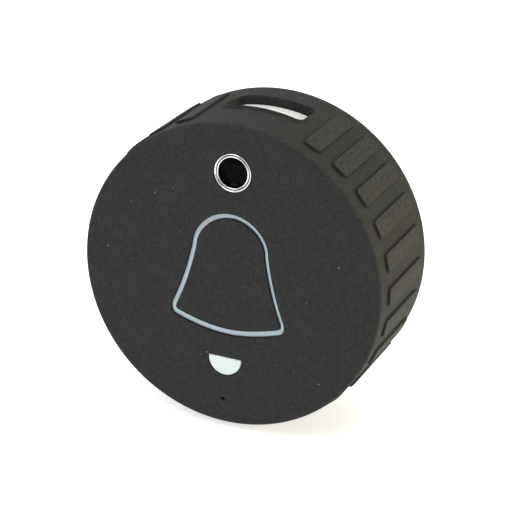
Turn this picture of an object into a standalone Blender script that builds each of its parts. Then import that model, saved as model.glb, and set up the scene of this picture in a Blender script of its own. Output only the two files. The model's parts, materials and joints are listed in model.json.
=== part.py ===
"""Round battery video doorbell for a wall, built piece by piece.

Every piece is modelled in the wall's own frame: x to the right, y up and z out of the wall, in
millimetres until a mesh is made. The empty wall_frame turns that frame so that the wall is the
world's XZ plane and the face looks along -Y.
"""

import math

import bmesh
import bpy
from mathutils import Matrix, Vector

MM = 0.001
GAP = 0.3  # between neighbouring pieces
MERGE = 1e-6  # merge distance, metres

# Outside of the unit
FACE_RADIUS = 34.5
BACK_RADIUS = 35.3
DEPTH = 29.0
FACE_EDGE = 0.6
SLEEVE_BACK = 0.2
SKIN = 2.1  # rubber over the face
ROUND_STEPS = 64

# Grip pads on the side
GRIP_TURN = 1.9  # degrees that the pattern sits turned clockwise
GRIP_FIRST = 24.65  # first pad's angle from the top
GRIP_PITCH = 12.2
GRIP_PER_SIDE = 13
GRIP_RAISE = 0.55
GRIP_TOP_WIDTH = 4.05
GRIP_SLOPE = 0.35
GRIP_BACK, GRIP_FRONT = 4.0, 25.5

# Housing
HOUSING_RADIUS = 31.9
WALL = 1.8
HOUSING_INNER = HOUSING_RADIUS - WALL
HOUSING_FRONT = DEPTH - SKIN - GAP
PLATE_UNDERSIDE = HOUSING_FRONT - 1.7
COVER_BACK, COVER_FRONT = 2.7, 4.5
COVER_LIP = 5.2
HOUSING_BACK = 6.6

# Speaker window at the top
WINDOW_HALF = 9.1
WINDOW_BACK, WINDOW_FRONT = 7.5, 17.5
GRILLE_INNER, GRILLE_OUTER = 31.0, 33.1  # radii
GRILLE_CLEAR = 0.15
GRILLE_SLOTS = 5

# Face features
LENS_Y = 24.0
RING_RADIUS, RING_BORE = 4.18, 3.15
LENS_HOLE = RING_RADIUS + GAP
GUIDE_HALF = 0.45
SLOT_HALF = 0.72
MOON_RADIUS, MOON_Y, MOON_TOP = 3.93, -19.02, -18.57
MIC_Y, MIC_HOLE = -28.8, 0.4
MIC_CAPSULE_Y = -27.6

# Bayonet
LUG_COUNT = 3
LUG_ANGLE, FLANGE_ANGLE = 22.0, 24.0
PLATE_RADIUS, LUG_RADIUS = 27.0, 29.4
FLANGE_BORE = 27.7
PLATE_THICK = 2.4
LUG_BACK = 1.4
FLANGE_BACK, FLANGE_FRONT = 0.4, 1.1
PAD_RADIUS, PAD_THICK = 18.1, 0.8
WALL_SCREW_X = 22.7

# Boards and posts
BOARD_BACK, BOARD_FRONT = 17.6, 19.2
BOARD_RADIUS = 29.0
ON_BOARD = BOARD_FRONT + GAP
POST_RADIUS_PLACE, POST_RADIUS = 26.2, 2.6
POST_ANGLES = (38, 142, 218, 322)
BOSS_X, BOSS_RADIUS = 24.5, 2.2

# Cells
CELL_RADIUS, CELL_PITCH, CELL_Z = 5.25, 10.8, 10.3
CELL_LOW, CELL_HIGH, CELL_NUB = -22.9, 20.8, 0.8
SWITCH_X = 22.5


def clear_scene():
    for obj in list(bpy.data.objects):
        bpy.data.objects.remove(obj)


def new_collection(name):
    collection = bpy.data.collections.new(name)
    bpy.context.scene.collection.children.link(collection)
    return collection


def finish_material(name, colour, roughness, metallic=0.0):
    """A Principled material in the piece's own colour."""
    material = bpy.data.materials.new(name)
    material.use_nodes = True
    shader = material.node_tree.nodes["Principled BSDF"]
    shader.inputs["Base Color"].default_value = (*colour, 1.0)
    shader.inputs["Roughness"].default_value = roughness
    shader.inputs["Metallic"].default_value = metallic
    return material


clear_scene()
PARTS = new_collection("video_doorbell")
CUTTERS = new_collection("cutters")
WALL_FRAME = bpy.data.objects.new("wall_frame", None)
WALL_FRAME.rotation_euler = (math.radians(90), 0, 0)
PARTS.objects.link(WALL_FRAME)

RUBBER = ((0.042, 0.043, 0.041), 0.85)
BLACK_PLASTIC = ((0.02, 0.02, 0.02), 0.5)
WHITE_PLASTIC = ((0.8, 0.83, 0.82), 0.4)
STEEL = ((0.6, 0.6, 0.6), 0.3, 1.0)
BRASS = ((0.75, 0.6, 0.3), 0.35, 1.0)
GREEN_BOARD = ((0.02, 0.16, 0.07), 0.45)
FOAM = ((0.7, 0.7, 0.68), 0.9)
GLASS = ((0.01, 0.01, 0.015), 0.05)
GUIDE = ((0.45, 0.5, 0.55), 0.35)
CELL_JACKET = ((0.05, 0.2, 0.5), 0.4)


def place(name, mesh, finish, location=(0, 0, 0), rotation=(0, 0, 0)):
    """Put a mesh in the wall's frame, as a piece if it has a finish and as a cutter if not."""
    obj = bpy.data.objects.new(name, mesh)
    obj.parent = WALL_FRAME
    obj.location = Vector(location) * MM
    obj.rotation_euler = rotation
    if finish is None:
        CUTTERS.objects.link(obj)
        obj.hide_render = True
        obj.display_type = "WIRE"
        return obj
    PARTS.objects.link(obj)
    mesh.materials.append(finish_material(name, *finish))
    return obj


def mesh_of(bm, name):
    mesh = bpy.data.meshes.new(name)
    bm.to_mesh(mesh)
    bm.free()
    return mesh


def block(name, x, y, z, finish=None, corner=0.0):
    """A box between the pairs x, y and z, with its upright edges rounded."""
    bm = bmesh.new()
    bmesh.ops.create_cube(bm, size=1.0)
    size = [(high - low) * MM for low, high in (x, y, z)]
    middle = [(high + low) / 2 for low, high in (x, y, z)]
    bmesh.ops.scale(bm, vec=size, verts=bm.verts)
    if corner:
        upright = [e for e in bm.edges if abs(e.verts[0].co.z - e.verts[1].co.z) > MERGE]
        bmesh.ops.bevel(bm, geom=upright, offset=corner * MM, segments=3, affect="EDGES", profile=0.5)
    return place(name, mesh_of(bm, name), finish, middle)


def rod(name, radius, z, finish=None, centre=(0, 0), sides=24):
    """A round bar between the pair z."""
    bm = bmesh.new()
    length = (z[1] - z[0]) * MM
    bmesh.ops.create_cone(
        bm, cap_ends=True, segments=sides, radius1=radius * MM, radius2=radius * MM, depth=length
    )
    return place(name, mesh_of(bm, name), finish, (*centre, (z[0] + z[1]) / 2))


def turned(name, profile, finish=None, centre=(0, 0, 0), closed=False, steps=ROUND_STEPS, rotation=(0, 0, 0)):
    """A profile of (radius, height) points turned about its own z axis."""
    mesh = bpy.data.meshes.new(name)
    points = [(radius * MM, 0, height * MM) for radius, height in profile]
    edges = [(i, i + 1) for i in range(len(points) - 1)]
    if closed:
        edges.append((len(points) - 1, 0))
    mesh.from_pydata(points, edges, [])
    obj = place(name, mesh, finish, centre, rotation)
    screw = obj.modifiers.new("Screw", "SCREW")
    screw.axis = "Z"
    screw.steps = screw.render_steps = steps
    screw.use_merge_vertices = True
    screw.merge_threshold = MERGE
    screw.use_smooth_shade = True
    return obj


def mesh_from_curve(name, curve):
    """The closed mesh of a filled curve, with its caps welded."""
    carrier = bpy.data.objects.new(name, curve)
    bpy.context.scene.collection.objects.link(carrier)
    graph = bpy.context.evaluated_depsgraph_get()
    mesh = bpy.data.meshes.new_from_object(carrier.evaluated_get(graph))
    bpy.data.objects.remove(carrier)
    bm = bmesh.new()
    bm.from_mesh(mesh)
    bmesh.ops.remove_doubles(bm, verts=bm.verts, dist=MERGE)
    bmesh.ops.recalc_face_normals(bm, faces=bm.faces)
    bm.to_mesh(mesh)
    bm.free()
    return mesh


def add_spline(curve, points, cyclic):
    spline = curve.splines.new("POLY")
    spline.points.add(len(points) - 1)
    for spline_point, point in zip(spline.points, points):
        spline_point.co = (*(Vector(point) * MM), 1.0)
    spline.use_cyclic_u = cyclic


def flat(name, loops, z, finish=None, location=(0, 0)):
    """A flat outline, with any holes as further loops, as thick as the pair z says."""
    curve = bpy.data.curves.new(name, "CURVE")
    curve.dimensions = "2D"
    curve.fill_mode = "BOTH"
    curve.extrude = (z[1] - z[0]) / 2 * MM
    for loop in loops:
        add_spline(curve, [(x, y, 0) for x, y in loop], True)
    return place(name, mesh_from_curve(name, curve), finish, (*location, (z[0] + z[1]) / 2))


def combine(obj, operation, *others):
    """Boolean modifiers on obj, one for each cutter or joined shape."""
    for other in others:
        boolean = obj.modifiers.new(other.name, "BOOLEAN")
        boolean.operation = operation
        boolean.solver = "EXACT"
        boolean.object = other


def cubic(p0, p1, p2, p3, count):
    """Points along a cubic Bezier, without its last one."""
    points = []
    for i in range(count):
        t = i / count
        weights = ((1 - t) ** 3, 3 * t * (1 - t) ** 2, 3 * t * t * (1 - t), t**3)
        points.append(tuple(sum(w * p[k] for w, p in zip(weights, (p0, p1, p2, p3))) for k in (0, 1)))
    return points


def bell_outline(offset=0.0):
    """The bell: a dome, flaring sides, round corners and a bowed foot, moved out by offset."""
    dome = cubic((0, 14.15), (4.25, 14.15), (8.25, 10.5), (8.3, 6.6), 7)
    side = cubic((8.3, 6.6), (8.85, 3.0), (10.45, -3.2), (12.4, -7.6), 5)
    corner = cubic((12.4, -7.6), (13.05, -9.05), (12.8, -10.05), (11.7, -10.4), 4)
    foot = cubic((11.7, -10.4), (8.0, -11.6), (4.0, -12.6), (0, -12.6), 4)
    right = dome + side + corner + foot
    loop = right + [(0, -12.6)] + [(-x, y) for x, y in reversed(right[1:])]
    return moved_out(loop, offset)


def moved_out(loop, offset):
    """A clockwise loop of points moved along its outward normals."""
    moved = []
    for i, (x, y) in enumerate(loop):
        before, after = loop[i - 1], loop[(i + 1) % len(loop)]
        along = Vector((after[0] - before[0], after[1] - before[1])).normalized()
        moved.append((x - along.y * offset, y + along.x * offset))
    return moved


def moon_outline(offset=0.0):
    """The half-moon: an arc a little over a half circle, closed by its flat top."""
    start = math.asin((MOON_TOP - MOON_Y) / MOON_RADIUS)
    sweep = math.pi + 2 * start
    angles = [start - sweep * i / 14 for i in range(15)]
    loop = [(MOON_RADIUS * math.cos(a), MOON_Y + MOON_RADIUS * math.sin(a)) for a in angles]
    return moved_out(loop, offset)


def ring_sector(inner, outer, middle_angle, width, count=4):
    """A stretch of a flat ring, width degrees wide."""
    angles = [math.radians(middle_angle + width * (i / count - 0.5)) for i in range(count + 1)]
    outside = [(outer * math.cos(a), outer * math.sin(a)) for a in angles]
    inside = [(inner * math.cos(a), inner * math.sin(a)) for a in reversed(angles)]
    return outside + inside


def post_places():
    for angle in POST_ANGLES:
        turn = math.radians(angle)
        yield POST_RADIUS_PLACE * math.cos(turn), POST_RADIUS_PLACE * math.sin(turn)


def sleeve_radius(z):
    """The sleeve's outer radius at a height above the wall."""
    return BACK_RADIUS + (FACE_RADIUS - BACK_RADIUS) * z / DEPTH


def grip_pads():
    """All grip pads as one shape: blocks with sloping sides, sunk into the sleeve's wall."""
    bm = bmesh.new()
    root = sleeve_radius(DEPTH) - 0.9
    for side in (1, -1):
        for i in range(GRIP_PER_SIDE):
            turn = math.radians(GRIP_TURN + side * (GRIP_FIRST + GRIP_PITCH * i))
            pad = bmesh.ops.create_cube(bm, size=2.0)["verts"]
            for vert in pad:
                lifted = vert.co.y > 0
                slope = 0 if lifted else GRIP_SLOPE
                half = GRIP_TOP_WIDTH / 2 + slope
                height = GRIP_FRONT - GRIP_SLOPE + slope if vert.co.z > 0 else GRIP_BACK + GRIP_SLOPE - slope
                radius = sleeve_radius(height) + GRIP_RAISE if lifted else root
                vert.co = Vector((half * vert.co.x, radius, height)) * MM
            bmesh.ops.rotate(bm, verts=pad, cent=(0, 0, 0), matrix=Matrix.Rotation(-turn, 3, "Z"))
    return place("grip_pads", mesh_of(bm, "grip_pads"), None)


def window_cutter(name, margin, inner):
    """The speaker window, margin wider on each side, from the radius inner outwards."""
    cutter = block(
        name,
        (-WINDOW_HALF - margin, WINDOW_HALF + margin),
        (inner, BACK_RADIUS + 4),
        (WINDOW_BACK - margin, WINDOW_FRONT + margin),
    )
    turn = Matrix.Rotation(-math.radians(GRIP_TURN), 4, "Z")
    cutter.matrix_local = turn @ Matrix.Translation(cutter.location)
    return cutter


def make_wall_side():
    turned("adhesive_pad", [(0, PAD_THICK), (PAD_RADIUS, PAD_THICK), (PAD_RADIUS, 0), (0, 0)], FOAM, steps=48)
    recess, depth = PAD_RADIUS + GAP, PAD_THICK + GAP
    profile = [(0, PLATE_THICK), (PLATE_RADIUS, PLATE_THICK), (PLATE_RADIUS, 0), (recess, 0), (recess, depth), (0, depth)]
    plate = turned("wall_plate", profile, BLACK_PLASTIC)
    for i in range(LUG_COUNT):
        sector = ring_sector(PLATE_RADIUS - 1, LUG_RADIUS, 90 + i * 360 / LUG_COUNT, LUG_ANGLE)
        combine(plate, "UNION", flat(f"lug_{i}", [sector], (LUG_BACK, PLATE_THICK)))
    for side in (-1, 1):
        sink = [(0, PLATE_THICK + 1), (3.9, PLATE_THICK + 1), (2.1, 0.8), (2.1, -1), (0, -1)]
        combine(plate, "DIFFERENCE", turned(f"screw_sink_{side}", sink, None, (side * WALL_SCREW_X, 0, 0), steps=20))


def make_sleeve():
    inner = HOUSING_RADIUS + GAP
    profile = [
        (0, DEPTH),
        (FACE_RADIUS - FACE_EDGE, DEPTH),
        (FACE_RADIUS - FACE_EDGE * 0.3, DEPTH - FACE_EDGE * 0.3),
        (FACE_RADIUS, DEPTH - FACE_EDGE),
        (BACK_RADIUS, SLEEVE_BACK),
        (inner, SLEEVE_BACK),
        (inner, DEPTH - SKIN),
        (0, DEPTH - SKIN),
    ]
    sleeve = turned("silicone_sleeve", profile, RUBBER)
    through = (DEPTH - SKIN - 1, DEPTH + 1)
    combine(sleeve, "UNION", grip_pads())
    combine(
        sleeve,
        "DIFFERENCE",
        rod("sleeve_lens_hole", LENS_HOLE, through, None, (0, LENS_Y), 32),
        flat("sleeve_bell_hole", [bell_outline(SLOT_HALF)], through),
        flat("sleeve_moon_hole", [moon_outline()], through),
        rod("sleeve_mic_hole", MIC_HOLE, through, None, (0, MIC_Y), 12),
        window_cutter("sleeve_window", 0, inner - 3),
    )


def make_front_housing():
    chamfer = 0.8
    profile = [
        (0, HOUSING_FRONT),
        (HOUSING_RADIUS - chamfer, HOUSING_FRONT),
        (HOUSING_RADIUS, HOUSING_FRONT - chamfer),
        (HOUSING_RADIUS, HOUSING_BACK),
        (HOUSING_INNER, HOUSING_BACK),
        (HOUSING_INNER, PLATE_UNDERSIDE),
        (0, PLATE_UNDERSIDE),
    ]
    housing = turned("front_housing", profile, BLACK_PLASTIC)
    sunk = PLATE_UNDERSIDE + 0.6
    for i, centre in enumerate(post_places()):
        combine(housing, "UNION", rod(f"post_{i}", POST_RADIUS, (COVER_FRONT + GAP, sunk), None, centre, 16))
        combine(housing, "DIFFERENCE", rod(f"post_bore_{i}", 1.3, (COVER_FRONT - 1, 16), None, centre, 12))
    for side in (-1, 1):
        centre = (side * BOSS_X, 0)
        combine(housing, "UNION", rod(f"boss_{side}", BOSS_RADIUS, (ON_BOARD, sunk), None, centre, 16))
        combine(housing, "DIFFERENCE", rod(f"boss_bore_{side}", 1.1, (ON_BOARD - 1, 22.6), None, centre, 12))
    through = (PLATE_UNDERSIDE - 1, HOUSING_FRONT + 1)
    combine(
        housing,
        "DIFFERENCE",
        rod("housing_lens_hole", LENS_HOLE, through, None, (0, LENS_Y), 32),
        flat("housing_bell_hole", [bell_outline(SLOT_HALF)], through),
        flat("housing_moon_hole", [moon_outline()], through),
        rod("housing_mic_hole", MIC_HOLE + 0.1, through, None, (0, MIC_Y), 12),
        block("mic_channel", (-0.7, 0.7), (MIC_Y - 0.7, MIC_CAPSULE_Y + 0.5), (PLATE_UNDERSIDE - 0.5, 25.6)),
        window_cutter("housing_window", GAP, HOUSING_INNER - 5),
    )


def make_rear_cover():
    lip = HOUSING_INNER + 0.2
    recess = LUG_RADIUS + GAP
    profile = [
        (0, COVER_FRONT),
        (lip, COVER_FRONT),
        (lip, COVER_LIP),
        (HOUSING_RADIUS, COVER_LIP),
        (HOUSING_RADIUS, GAP),
        (recess, GAP),
        (recess, COVER_BACK),
        (0, COVER_BACK),
    ]
    cover = turned("rear_cover", profile, BLACK_PLASTIC)
    for i in range(LUG_COUNT):
        sector = ring_sector(FLANGE_BORE, recess + 1, 90 + i * 360 / LUG_COUNT, FLANGE_ANGLE)
        combine(cover, "UNION", flat(f"flange_{i}", [sector], (FLANGE_BACK, FLANGE_FRONT)))
    for i, centre in enumerate(post_places()):
        combine(
            cover,
            "DIFFERENCE",
            rod(f"head_sink_{i}", 2.5, (COVER_BACK - 1, 3.9), None, centre, 16),
            rod(f"screw_way_{i}", 1.3, (3.5, COVER_FRONT + 1), None, centre, 12),
        )
    through = (COVER_BACK - 1, COVER_FRONT + 1)
    combine(
        cover,
        "DIFFERENCE",
        rod("reset_hole", 1.4, through, None, (SWITCH_X, 0), 16),
        block("power_slot", (-SWITCH_X - 1.0, -SWITCH_X + 1.0), (-2.9, 1.9), through),
    )
    seal = [(31.6, 6.3), (31.6, 5.5), (30.4, 5.5), (30.4, 6.3)]
    turned("seal_ring", seal, RUBBER, closed=True, steps=48)


def make_screws():
    for i, centre in enumerate(post_places()):
        profile = [(0, 13.0), (1.0, 12.4), (1.0, 3.9), (2.2, 3.8), (2.2, 2.8), (0, 2.8)]
        turned(f"cover_screw_{i + 1}", profile, STEEL, (*centre, 0), steps=14)
    for side, word in ((-1, "left"), (1, "right")):
        profile = [(0, 22.0), (0.8, 21.6), (0.8, 17.3), (1.7, 17.3), (1.7, 16.2), (0, 16.2)]
        turned(f"board_screw_{word}", profile, STEEL, (side * BOSS_X, 0, 0), steps=14)


def make_speaker():
    low, high = WINDOW_BACK + GRILLE_CLEAR, WINDOW_FRONT - GRILLE_CLEAR
    half = WINDOW_HALF - GRILLE_CLEAR
    profile = [(GRILLE_OUTER, high), (GRILLE_OUTER, low), (GRILLE_INNER, low), (GRILLE_INNER, high)]
    grille = turned("speaker_grille", profile, STEEL, closed=True, steps=96)
    keep = block("grille_width", (-half, half), (GRILLE_INNER - 4, BACK_RADIUS), (0, DEPTH))
    turn = Matrix.Rotation(-math.radians(GRIP_TURN), 4, "Z")
    keep.matrix_local = turn @ Matrix.Translation(keep.location)
    combine(grille, "INTERSECT", keep)
    pitch = (WINDOW_FRONT - WINDOW_BACK) / GRILLE_SLOTS
    for i in range(GRILLE_SLOTS):
        middle = WINDOW_BACK + pitch * (i + 0.5)
        slot = block(f"grille_slot_{i}", (-7, 7), (GRILLE_INNER - 4, BACK_RADIUS), (middle - 0.4, middle + 0.4))
        combine(grille, "DIFFERENCE", slot)
    block("speaker_driver", (-9.8, 9.8), (24.0, 28.2), (WINDOW_BACK, 16.2), BLACK_PLASTIC)


def make_main_board():
    profile = [(0, BOARD_FRONT), (BOARD_RADIUS, BOARD_FRONT), (BOARD_RADIUS, BOARD_BACK), (0, BOARD_BACK)]
    board = turned("main_board", profile, GREEN_BOARD, steps=48)
    through = (BOARD_BACK - 1, BOARD_FRONT + 1)
    for i, centre in enumerate(post_places()):
        combine(board, "DIFFERENCE", rod(f"board_post_hole_{i}", POST_RADIUS + 0.35, through, None, centre, 16))
    for side in (-1, 1):
        combine(board, "DIFFERENCE", rod(f"board_hole_{side}", 1.1, through, None, (side * BOSS_X, 0), 12))
    block("processor_shield", (-20.5, -11.2), (-10, 9), (ON_BOARD, 22.0), STEEL)
    block("wifi_module", (11.2, 20.5), (-7, 9), (ON_BOARD, 21.8), STEEL)
    block("antenna", (-18.1, -17.65), (-10, 10), (6.5, 14.5), GREEN_BOARD)
    led_places = ((-9.3, 3.0), (9.3, 3.0), (-8.0, -11.6), (8.0, -11.6))
    for i, (x, y) in enumerate(led_places):
        block(f"bell_led_{i + 1}", (x - 0.8, x + 0.8), (y - 0.8, y + 0.8), (ON_BOARD, 20.2), WHITE_PLASTIC)
    block("status_led", (-0.8, 0.8), (MOON_Y - 2.6, MOON_Y - 1.0), (ON_BOARD, 20.2), WHITE_PLASTIC)


def make_camera():
    holder = block("lens_holder", (-4.2, 4.2), (LENS_Y - 4.2, LENS_Y + 4.2), (ON_BOARD, 21.2), BLACK_PLASTIC)
    centre = (0, LENS_Y)
    combine(holder, "UNION", rod("holder_collar", 4.0, (20.8, 22.9), None, centre, 24))
    combine(
        holder,
        "DIFFERENCE",
        rod("holder_bore", 3.2, (21.1, 24), None, centre, 24),
        rod("holder_throat", 2.4, (20, 21.5), None, centre, 24),
        block("sensor_room", (-2.4, 2.4), (LENS_Y - 2.4, LENS_Y + 2.4), (ON_BOARD - 1, 20.7)),
    )
    block("image_sensor", (-2, 2), (LENS_Y - 2, LENS_Y + 2), (ON_BOARD, 20.3), GLASS)
    barrel = [(2.85, 27.4), (2.85, 21.5), (2.2, 21.5), (2.2, 27.4)]
    turned("lens_barrel", barrel, BLACK_PLASTIC, (*centre, 0), closed=True, steps=24)
    glass = [(0, 27.3), (1.0, 27.2), (1.6, 26.9), (1.9, 26.5), (1.9, 26.0), (0, 26.0)]
    turned("lens_glass", glass, GLASS, (*centre, 0), steps=24)
    ring = [
        (3.9, DEPTH),
        (RING_RADIUS, DEPTH - 0.3),
        (RING_RADIUS, 24.6),
        (5.4, 24.6),
        (5.4, 23.3),
        (RING_BORE, 23.3),
        (RING_BORE, 27.7),
        (3.5, DEPTH - 0.1),
    ]
    turned("lens_ring", ring, STEEL, (*centre, 0), closed=True, steps=32)


def make_bell_key():
    stem = (0, 0)
    body = block("switch_body", (-3, 3), (-3, 3), (ON_BOARD, 22.9), BLACK_PLASTIC)
    combine(body, "DIFFERENCE", rod("switch_pocket", 2.0, (20.9, 24), None, stem, 20))
    rod("switch_actuator", 1.7, (21.7, 24.0), WHITE_PLASTIC, stem, 20)
    plunger = flat("key_plunger", [bell_outline(-SLOT_HALF)], (24.9, 26.7), BLACK_PLASTIC)
    combine(plunger, "UNION", rod("key_stem", 2.0, (24.3, 25.5), None, stem, 20))
    flat("key_skin", [bell_outline(-SLOT_HALF)], (27.0, DEPTH), RUBBER)
    guide = flat("bell_light_guide", [bell_outline(2.5), bell_outline(-GUIDE_HALF)], (23.4, 24.6), GUIDE)
    rim = flat("guide_rim", [bell_outline(GUIDE_HALF), bell_outline(-GUIDE_HALF)], (24.0, 28.3))
    combine(guide, "UNION", rim)


def make_status_window():
    window = flat("status_window", [moon_outline(-0.3)], (24.0, 28.6), WHITE_PLASTIC)
    combine(window, "UNION", flat("window_flange", [moon_outline(1.2)], (23.4, 24.6)))


def make_microphone():
    boot = [(2.3, 24.6), (2.3, 21.6), (1.8, 21.6), (1.8, 24.0), (0.4, 24.0), (0.4, 24.6)]
    turned("mic_boot", boot, RUBBER, (0, MIC_CAPSULE_Y, 0), closed=True, steps=20)
    rod("microphone", 1.5, (21.7, 23.7), STEEL, (0, MIC_CAPSULE_Y), 20)


def make_battery_bay():
    outer = block("battery_tray", (-17.35, 17.35), (-26.0, 23.2), (COVER_FRONT + 0.5, 17.1), BLACK_PLASTIC)
    combine(outer, "INTERSECT", rod("tray_round", 29.8, (0, 20), None, (0, 0), 48))
    pocket = block("tray_pocket", (-16.35, 16.35), (-25.2, 22.6), (0, 15.9))
    combine(pocket, "INTERSECT", rod("pocket_round", 29.0, (-2, 20), None, (0, 0), 48))
    combine(outer, "DIFFERENCE", pocket)
    upright = (-math.pi / 2, 0, 0)
    jacket = [
        (0, CELL_HIGH + CELL_NUB),
        (1.9, CELL_HIGH + CELL_NUB),
        (1.9, CELL_HIGH),
        (CELL_RADIUS, CELL_HIGH),
        (CELL_RADIUS, CELL_LOW),
        (0, CELL_LOW),
    ]
    for i, word in ((-1, "left"), (0, "middle"), (1, "right")):
        turned(f"cell_{word}", jacket, CELL_JACKET, (i * CELL_PITCH, 0, CELL_Z), steps=24, rotation=upright)
        make_contact_spring(i + 2, i * CELL_PITCH)
    block("contact_plate_top", (-14.5, 14.5), (21.9, 22.3), (6, 14.6), BRASS)
    block("contact_plate_bottom", (-13.5, 13.5), (-25.1, -24.8), (6, 14.6), BRASS)


def make_contact_spring(number, x):
    """A flat cone of wire that presses on a cell's end."""
    turns, per_turn = 2, 8
    curve = bpy.data.curves.new(f"contact_spring_{number}", "CURVE")
    curve.dimensions = "3D"
    curve.bevel_depth = 0.2 * MM
    curve.bevel_resolution = 2
    curve.use_fill_caps = True
    points = []
    for i in range(turns * per_turn + 1):
        along, turn = i / (turns * per_turn), 2 * math.pi * i / per_turn
        radius = 3.2 - 1.6 * along
        points.append((radius * math.cos(turn), -24.3 + 0.8 * along, radius * math.sin(turn)))
    add_spline(curve, points, False)
    name = f"contact_spring_{number}"
    place(name, mesh_from_curve(name, curve), STEEL, (x, 0, CELL_Z))


def make_rear_switches():
    body = block("power_switch_body", (-25, -20), (-4.5, 4.5), (4.8, 8.0), BLACK_PLASTIC)
    combine(body, "DIFFERENCE", block("knob_room", (-23.6, -21.4), (-3.2, 2.2), (4, 6.4)))
    block("power_switch_knob", (-23.2, -21.8), (-2.6, -0.4), (2.8, 6.0), WHITE_PLASTIC)
    body = block("reset_switch_body", (19.7, 25.3), (-2.8, 2.8), (4.8, 8.3), BLACK_PLASTIC)
    combine(body, "DIFFERENCE", rod("reset_room", 1.4, (4, 6.9), None, (SWITCH_X, 0), 16))
    rod("reset_button", 1.1, (2.8, 6.0), WHITE_PLASTIC, (SWITCH_X, 0), 16)


make_wall_side()
make_sleeve()
make_front_housing()
make_rear_cover()
make_screws()
make_speaker()
make_main_board()
make_camera()
make_bell_key()
make_status_window()
make_microphone()
make_battery_bay()
make_rear_switches()
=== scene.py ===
"""Looks of a round wall-mounted video doorbell, built around its fixed frame.

Pieces are modelled in the wall's own frame, x to the right, y up and z out of the wall, in metres,
and baked into the world, where the wall is the XZ plane and the face looks along -Y.
"""

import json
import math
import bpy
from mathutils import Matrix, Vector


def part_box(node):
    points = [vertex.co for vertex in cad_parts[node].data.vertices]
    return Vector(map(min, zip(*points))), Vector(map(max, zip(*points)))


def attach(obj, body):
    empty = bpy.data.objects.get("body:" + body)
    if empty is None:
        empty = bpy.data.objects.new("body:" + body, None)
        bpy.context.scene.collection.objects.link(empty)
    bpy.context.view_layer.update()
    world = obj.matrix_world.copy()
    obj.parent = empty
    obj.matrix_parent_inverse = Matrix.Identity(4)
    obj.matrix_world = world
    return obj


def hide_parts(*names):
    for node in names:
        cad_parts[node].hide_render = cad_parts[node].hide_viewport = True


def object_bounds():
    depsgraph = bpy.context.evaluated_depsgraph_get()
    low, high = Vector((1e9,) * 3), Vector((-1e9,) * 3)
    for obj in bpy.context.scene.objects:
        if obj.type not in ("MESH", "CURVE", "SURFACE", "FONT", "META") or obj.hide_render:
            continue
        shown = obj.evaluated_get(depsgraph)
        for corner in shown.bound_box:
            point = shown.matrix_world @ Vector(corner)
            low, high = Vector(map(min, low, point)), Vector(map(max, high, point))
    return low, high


bl_info = {
    "name": "Video Doorbell Looks",
    "version": (1, 0, 0),
    "blender": (4, 5, 0),
    "location": "View3D > Sidebar > Doorbell",
    "description": "Builds the visible pieces, finishes and stage of a round video doorbell",
    "category": "Object",
}

import bmesh
import bpy
from bpy.props import FloatProperty, FloatVectorProperty, PointerProperty
from mathutils import Matrix, Vector

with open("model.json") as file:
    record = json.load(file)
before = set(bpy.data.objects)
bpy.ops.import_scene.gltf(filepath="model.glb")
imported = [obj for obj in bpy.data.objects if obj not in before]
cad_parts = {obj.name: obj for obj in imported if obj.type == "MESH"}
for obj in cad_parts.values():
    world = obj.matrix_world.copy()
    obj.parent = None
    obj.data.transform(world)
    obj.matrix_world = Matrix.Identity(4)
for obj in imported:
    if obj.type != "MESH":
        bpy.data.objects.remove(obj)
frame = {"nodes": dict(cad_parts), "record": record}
CAD_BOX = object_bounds()

MM = 0.001
MERGE = 1e-6
WALL_TO_WORLD = Matrix.Rotation(math.radians(90), 4, "X")


def in_wall(node):
    """A frame node's lowest and highest corners, in the wall's frame."""
    low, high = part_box(node)
    return Vector((low.x, low.z, -high.y)), Vector((high.x, high.z, -low.y))


# Sizes read from the frame
SLEEVE_LOW, SLEEVE_HIGH = in_wall("silicone_sleeve")
DEPTH = SLEEVE_HIGH.z
SLEEVE_BACK = SLEEVE_LOW.z
HOUSING_RADIUS = in_wall("front_housing")[1].x
KEY_BACK = in_wall("key_skin")[0].z
RING_LOW, RING_HIGH = in_wall("lens_ring")
LENS_CENTRE = (RING_LOW + RING_HIGH) / 2
GRILLE_LOW, GRILLE_HIGH = in_wall("speaker_grille")
PAD_HIGH = in_wall("adhesive_pad")[1]

# The rubber sleeve
FACE_RADIUS, BACK_RADIUS = 34.5 * MM, 35.3 * MM
FACE_EDGE = 0.6 * MM
FLAT_RADIUS = FACE_RADIUS - FACE_EDGE
SLEEVE_BORE = HOUSING_RADIUS + 0.3 * MM
SKIN_BACK = KEY_BACK - 0.1 * MM
GRIP_PER_SIDE = 13
GRIP_FIRST, GRIP_PITCH = math.radians(24.65), math.radians(12.2)
GRIP_TURN = math.radians(1.9)
GRIP_BACK, GRIP_FRONT = 4.0 * MM, 25.3 * MM
GRILLE_CLEAR, GRILLE_SHEET = 0.15 * MM, 0.3 * MM
WINDOW_HALF = 9.1 * MM
WINDOW_BACK, WINDOW_FRONT = GRILLE_LOW.z - GRILLE_CLEAR, GRILLE_HIGH.z - 0.25 * MM

# Openings in the face
RIM = 0.2 * MM
OPENING_OUT, OPENING_OUT_ENDS = 0.57 * MM, 0.05 * MM
KEY_IN, KEY_IN_ENDS = 0.48 * MM, 0.16 * MM
KEY_SHIFT = Vector((0.12, 0.17)) * MM
MOON_RADIUS, MOON_Y, MOON_TOP = 3.93 * MM, -19.02 * MM, -18.57 * MM
MOON_CORNER = 0.7 * MM
MIC_PLACE, MIC_RADIUS = (0, -28.8 * MM), 0.4 * MM
INLAY_CLEAR = 0.02 * MM
GUIDE_RIM, MOON_RIM = 0.08 * MM, 0.3 * MM

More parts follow.
